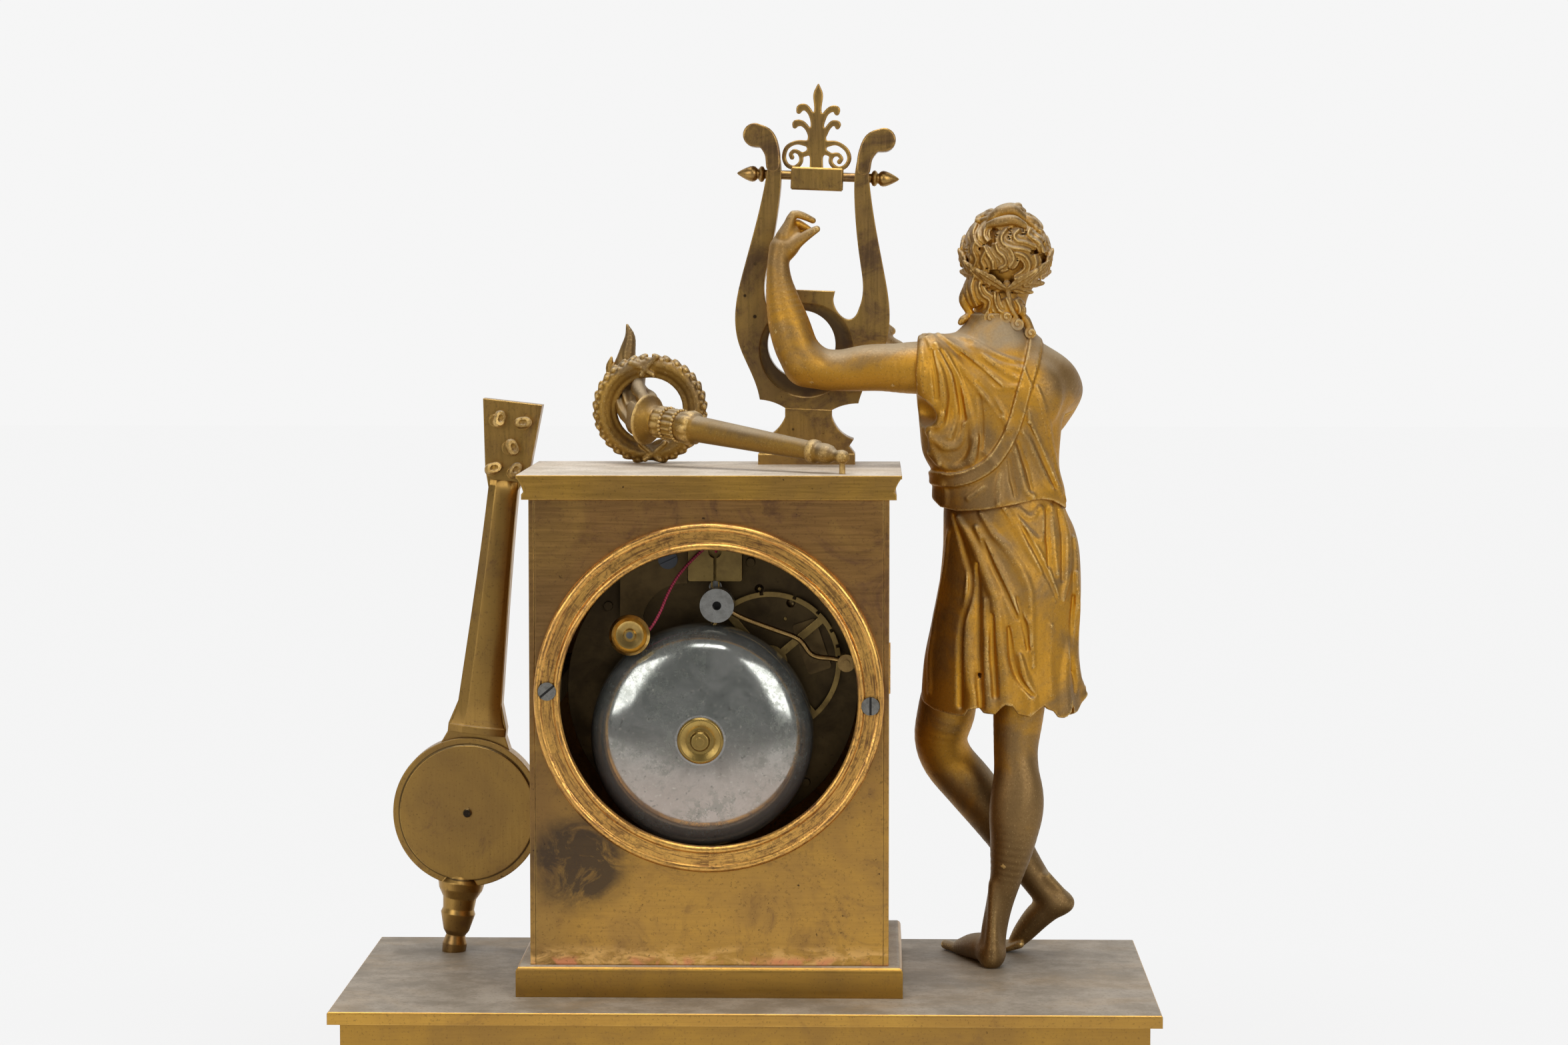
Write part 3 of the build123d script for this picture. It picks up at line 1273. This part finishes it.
with BuildPart() as figure_right_leg:
    limb(
        [(6.7, -5, hem_height + 4, 9.2, 9.6), (6, -6, 75, 7.7, 8.4), (6.6, -7, 60, 8.6, 8.8),
         (4.9, -8, 45, 8.1, 8.2), (2.1, -8.5, 32, 6.2, 6.6), (-0.5, -8.5, 21, 5, 5.6),
         (-2.4, -8.5, 11, 4.6, 6), (-2.8, -8.5, 3, 4.6, 6.4)],
        figure_origin,
    )
    limb(
        [(-1.8, -15, 4, 3, 2.4), (-3, -10.5, 5, 4.4, 4.6), (-5, -4, 6.4, 4.8, 6.4), (-9, 5, 5.6, 5.2, 5.6),
         (-13.5, 14, 3.6, 5.6, 3.6), (-17, 20, 2, 4.4, 2)],
        figure_origin,
    )
    with Locations((figure_x, figure_y, base_top - 10)):
        Box(120, 90, 20, mode=Mode.SUBTRACT)
    with Locations((figure_x, figure_y, base_top + hem_height + 10)):
        Box(120, 90, 20, mode=Mode.SUBTRACT)
save(figure_right_leg, "figure_right_leg")

# Lyre: a flat-backed sound box with two arms that end in scrolls, cut from one outline
lyre_foot_height = 19.5
bar_height = 101.5
scroll_place = (22.7, 115.0)
scroll_radius = 3.8
with BuildPart() as lyre_frame:
    with BuildSketch(upright(lyre_y, lyre_x, cornice_top, lyre_lean)):
        with BuildLine():
            foot_edge = Line((0, lyre_foot_height), (8.2, lyre_foot_height))
            ear = Spline(foot_edge @ 1, (12.5, 21.4), (17.4, 22.2))
            outer = Spline(
                ear @ 1, (20.3, 30.5), (26.0, 43.0), (27.2, 52.0), (25.0, 67.0), (21.2, 83.5), (18.2, 100.0),
                (18.2, 109.0), (20.6, 113.4),
            )
            top = Polyline(outer @ 1, (22.4, 117.4), (17.4, 116.8))
            inside = Spline(top @ 1, (13.4, 106.5), (13.2, 93.0), (16.2, 71.0), (17.4, 62.0), (16.2, 55.5))
            hollow = Spline(inside @ 1, (12.2, 51.6), (8.4, 54.6), (7.2, 59.3))
            Polyline(hollow @ 1, (7.6, 61.3), (0, 61.3), (0, lyre_foot_height))
        make_face()
        with Locations(scroll_place):
            Circle(scroll_radius)
        mirror(about=Plane.YZ)
    extrude(amount=-lyre_thickness)
    with BuildSketch(upright(lyre_y, lyre_x, cornice_top, lyre_lean)):
        with Locations((-1.6, 40.2)):
            Circle(lyre_recess_radius)
    extrude(amount=-3, mode=Mode.SUBTRACT)
    with BuildSketch(upright(lyre_y, lyre_x, cornice_top, lyre_lean)):
        with Locations((-3.5, 42.1)):
            Circle(lyre_hole_radius)
    extrude(amount=-lyre_thickness, mode=Mode.SUBTRACT)
    lyre_middle = upright(lyre_y + lyre_thickness / 2, lyre_x, cornice_top, lyre_lean)
    bar_start = lyre_middle.from_local_coords((-40, bar_height, 0))
    bar_end = lyre_middle.from_local_coords((40, bar_height, 0))
    with BuildSketch(Plane(origin=bar_start, z_dir=bar_end - bar_start)):
        Circle(crossbar_radius + running_gap)
    extrude(amount=80, mode=Mode.SUBTRACT)
save(lyre_frame, "lyre_frame")

with BuildPart() as lyre_foot:
    with BuildSketch(upright(lyre_y, lyre_x, cornice_top, 0)):
        with BuildLine():
            neck_shift = lyre_foot_height * sin(radians(lyre_lean))
            Line((-17.1, 0), (17.1, 0))
            right_edge = Polyline((17.1, 0), (17.1, 3.6), (15.0, 6.4), (16.6, 8.8))
            right_neck = Spline(right_edge @ 1, (13.0, 10.6), (8.9, 16.8))
            left_edge = Polyline((-17.1, 0), (-17.1, 3.6), (-15.0, 6.4), (-16.6, 8.8))
            left_neck = Spline(left_edge @ 1, (-12.2, 10.8), (-7.6, 16.8))
            Polyline(right_neck @ 1, (8.9, 22), (-7.6, 22), left_neck @ 1)
        make_face()
    extrude(amount=-lyre_thickness)
    with BuildSketch(Plane(origin=(lyre_x, lyre_y + lyre_thickness / 2, cornice_top))):
        Rectangle(34.2, lyre_thickness + 3)
    extrude(amount=3.6)
    add(lyre_frame.part, mode=Mode.SUBTRACT)
    cut_plane = upright(lyre_y, lyre_x, cornice_top, lyre_lean)
    with BuildSketch(cut_plane):
        with Locations((0, lyre_foot_height + 10)):
            Rectangle(60, 20)
    extrude(amount=-2 * lyre_thickness, mode=Mode.SUBTRACT)
save(lyre_foot, "lyre_foot")

# Lyre crossbar: a rod with turned ends, and the pin block in its middle
with BuildPart() as lyre_crossbar:
    with BuildSketch(Plane(origin=bar_start, x_dir=(0, 1, 0), z_dir=bar_end - bar_start)):
        Circle(crossbar_radius)
    extrude(amount=80)
    with BuildSketch(upright(lyre_y + 3, lyre_x, cornice_top, lyre_lean)):
        with Locations((-0.3, bar_height - 1)):
            RectangleRounded(18.4, 8.0, 0.8)
    extrude(amount=-7)
    bar_axis = Axis(bar_start, bar_end - bar_start)
    for side in (-1, 1):
        steps = [(19.4, 0), (19.4, 3.4), (21.2, 3.4), (21.8, 2.0), (25.5, 2.9), (28.2, 0.8), (28.6, 0)]
        with BuildSketch(lyre_middle) as finial:
            with BuildLine():
                Polyline(*[(side * out, bar_height + radius) for out, radius in steps], close=True)
            make_face()
        revolve(finial.sketch, axis=bar_axis)
    with BuildSketch(upright(lyre_y, lyre_x, cornice_top, lyre_lean)) as ends:
        for side in (-1, 1):
            with Locations((side * 38.6, bar_height)):
                Rectangle(20, 20)
    extrude(ends.sketch, amount=-lyre_thickness, mode=Mode.SUBTRACT)
save(lyre_crossbar, "lyre_crossbar")

# Lyre crest: a flat palmette that stands on the pin block
crest_foot = bar_height + 3.0
with BuildPart() as lyre_crest:
    with BuildSketch(upright(lyre_y + 5.5, lyre_x, cornice_top, lyre_lean)):
        with BuildLine():
            Line((0, crest_foot), (2.4, crest_foot))
            Line((2.4, crest_foot), (2.2, crest_foot + 11))
            leaf_tip = (0, crest_foot + 30)
            Spline((2.2, crest_foot + 11), (1.2, crest_foot + 17), (1.7, crest_foot + 25), leaf_tip)
            Line(leaf_tip, (0, crest_foot))
        make_face()
        for low, lift in ((11.5, 16.0), (17.5, 20.5)):
            with BuildLine():
                Spline((0.8, crest_foot + low), (3.6, crest_foot + lift), (7.6, crest_foot + lift))
                Spline((7.6, crest_foot + lift), (4.6, crest_foot + lift + 2.4), (0.8, crest_foot + low + 3))
                Line((0.8, crest_foot + low + 3), (0.8, crest_foot + low))
            make_face()
        with Locations((0, crest_foot + 10)):
            Circle(2.9)
        with Locations((7.6, crest_foot + 5.2)):
            Circle(5.0)
            Circle(2.9, mode=Mode.SUBTRACT)
            Circle(1.5)
        with Locations(Pos(6.2, crest_foot + 4.4) * Rot(0, 0, 60)):
            Rectangle(1.6, 4)
        with Locations((4.4, crest_foot + 9.0)):
            Rectangle(5, 1.6)
        mirror(about=Plane.YZ)
    extrude(amount=-crest_thickness)
save(lyre_crest, "lyre_crest")

# Lute: a drum with a recessed back cover, a turned tail, and a flat neck with its pegs
lute_back = lute_y - lute_cover_thickness
lute_mid = lute_y + lute_thickness / 2
lute_plane = upright(lute_y, lute_x, base_top, lute_lean)
lute_axis = Axis((lute_x, lute_mid, base_top), (sin(radians(lute_lean)), 0, cos(radians(lute_lean))))
with BuildPart() as lute_body:
    with BuildSketch(lute_plane):
        with Locations((0, lute_drum_height)):
            Circle(lute_drum_radius)
    extrude(amount=-lute_thickness)
    fillet(lute_body.edges().group_by(Axis.Y)[-1], 2.0)
    with BuildSketch(upright(lute_mid, lute_x, base_top, lute_lean)) as tail:
        with BuildLine():
            Polyline(
                (0, -1), (4.2, -1), (4.4, 3.0), (3.4, 6.0), (4.6, 7.8), (6.2, 14.0), (5.6, 15.6),
                (6.0, 19.6), (7.8, 22.8), (8.4, 25.6), (6.0, 30.0), (0, 30.0), close=True,
            )
        make_face()
    revolve(tail.sketch, axis=lute_axis)
    with Locations((lute_x, lute_mid, base_top - 10)):
        Box(60, 60, 20, mode=Mode.SUBTRACT)
    with BuildPart(mode=Mode.PRIVATE) as cover:
        with BuildSketch(lute_plane) as cover_face:
            with Locations((0, lute_drum_height)):
                Circle(lute_cover_radius)
        extrude(cover_face.sketch, amount=lute_cover_thickness)
        with BuildSketch(upright(lute_back, lute_x, base_top, lute_lean)) as pin_face:
            with Locations((0, lute_drum_height)):
                Circle(1.5)
        extrude(pin_face.sketch, amount=1.0)
    add(cover.part)
save(lute_body, "lute_body")

neck_foot = lute_drum_height + 20
with BuildPart() as lute_neck:
    neck_back = lute_mid - lute_neck_thickness / 2
    with BuildSketch(upright(neck_back, lute_x, base_top, lute_lean)):
        with BuildLine():
            right = Spline((5.3, 168.0), (5.6, 150.0), (6.4, 125.0), (7.8, 91.0))
            left = Spline((-5.3, 168.0), (-5.6, 150.0), (-6.4, 125.0), (-7.8, 91.0))
            foot_right = Polyline(right @ 1, (10.4, 82.5), (10.4, 79.5), (14.0, neck_foot))
            foot_left = Polyline(left @ 1, (-10.4, 82.5), (-10.4, 79.5), (-14.0, neck_foot))
            Line(foot_right @ 1, foot_left @ 1)
            Polyline(right @ 0, (8.8, 177.0), (10.6, 199.2), (-10.6, 199.2), (-7.2, 174.8), left @ 0)
        make_face()
    extrude(amount=-lute_neck_thickness)
    add(lute_body.part, mode=Mode.SUBTRACT)
    peg_places = [(-5.4, 191.9), (4.4, 191.8), (0.2, 182.7), (-5.0, 174.3), (2.8, 174.2)]
    with BuildSketch(upright(neck_back + 0.2, lute_x, base_top, lute_lean)) as pegs:
        with Locations(*peg_places):
            Circle(peg_radius)
    extrude(pegs.sketch, amount=peg_height + 0.2)
save(lute_neck, "lute_neck")

# Torch: ball, tapered shaft, beaded collar, cup and flame, on a pin that stands on the cornice
torch_start = Vector(torch_end[0], torch_end[1], cornice_top + torch_end[2])
torch_mouth = Vector(torch_cup[0], torch_cup[1], cornice_top + torch_cup[2])
torch_way = torch_mouth - torch_start
torch_length = torch_way.length
with BuildPart() as torch:
    torch_plane = Plane(origin=torch_start, x_dir=(0, 0, 1), z_dir=torch_way)
    side_plane = Plane(origin=torch_start, x_dir=torch_plane.x_dir, z_dir=-torch_plane.y_dir)
    with BuildSketch(side_plane) as torch_profile:
        with BuildLine():
            Polyline(
                (0, -2.2), (1.6, -1.6), (2.2, 0), (1.4, 1.8), (2.8, 2.6), (3.6, 6.0), (2.8, 7.4),
                (3.2, 8.0), (4.8, torch_length - 21), (6.2, torch_length - 20), (6.6, torch_length - 18),
                (5.2, torch_length - 16), (6.8, torch_length - 11), (7.4, torch_length - 8),
                (6.2, torch_length - 6.4), (torch_cup_radius, torch_length - 3),
                (torch_cup_radius, torch_length), (0, torch_length), close=True,
            )
        make_face()
    revolve(torch_profile.sketch, axis=Axis(torch_start, torch_way))
    with Locations((torch_start.X, torch_start.Y, (cornice_top + torch_start.Z) / 2)):
        Cylinder(torch_pin_radius, torch_start.Z - cornice_top)
    flame_root = (torch_mouth.X, torch_mouth.Y, torch_mouth.Z)
    limb(
        [(1.5, -1.1, -0.2, 7.6, 7.6), (-2, 9, 1.5, 7.2, 7.2), (-3, 18, 3, 5.4, 5.4), (-7, 25, 8.5, 5.6, 5.4),
         (-10.5, 27.5, 17, 5, 4.6), (-9.2, 28, 26, 3, 2.6), (-10, 28, 32.6, 0.7, 0.7)],
        flame_root,
        across=(1, 0, 0.3),
    )
save(torch, "torch")

# Wreath: a ring of leaves that stands on the cornice, tied at its top and its foot
wreath_z = cornice_top + wreath_radius + wreath_thickness - 0.5
leaf_pairs = 11
with BuildPart() as wreath:
    with BuildSketch(Plane(origin=(wreath_x, wreath_y, wreath_z))):
        with Locations((wreath_radius, 0)):
            RegularPolygon(0.76 * wreath_thickness, 8)
    revolve(axis=Axis((wreath_x, wreath_y, wreath_z), (0, 1, 0)))
    for side in (-1, 1):
        for leaf in range(leaf_pairs):
            angle = 90 + side * (12 + 156 * leaf / (leaf_pairs - 1))
            for row, lift in ((-1, -1.4), (1, -1.9), (0, -2.6)):
                radius = wreath_radius + row * 0.55 * wreath_thickness
                spot = (
                    wreath_x + radius * cos(radians(angle)),
                    wreath_y + lift,
                    wreath_z + radius * sin(radians(angle)),
                )
                lay = angle + side * (90 - 24 * row * side * side)
                with BuildSketch(upright(spot[1], spot[0], spot[2])) as leaf_face:
                    with Locations(Rot(0, 0, lay)):
                        with BuildLine():
                            ThreePointArc((-leaf_length / 2, 0), (0, leaf_width / 2), (leaf_length / 2, 0))
                            ThreePointArc((leaf_length / 2, 0), (0, -leaf_width / 2), (-leaf_length / 2, 0))
                        make_face()
                extrude(leaf_face.sketch, amount=leaf_thickness)
    for angle in (90, 270):
        spot = (wreath_x, wreath_z + wreath_radius * sin(radians(angle)))
        for turn in (-35, 35):
            with BuildSketch(upright(wreath_y + 3.4, *spot)) as ribbon:
                with Locations(Rot(0, 0, turn)):
                    Rectangle(2.6, 2.1 * wreath_thickness)
            extrude(ribbon.sketch, amount=7.4)
    with Locations((wreath_x, wreath_y, cornice_top - 10)):
        Box(80, 40, 20, mode=Mode.SUBTRACT)
save(wreath, "wreath")
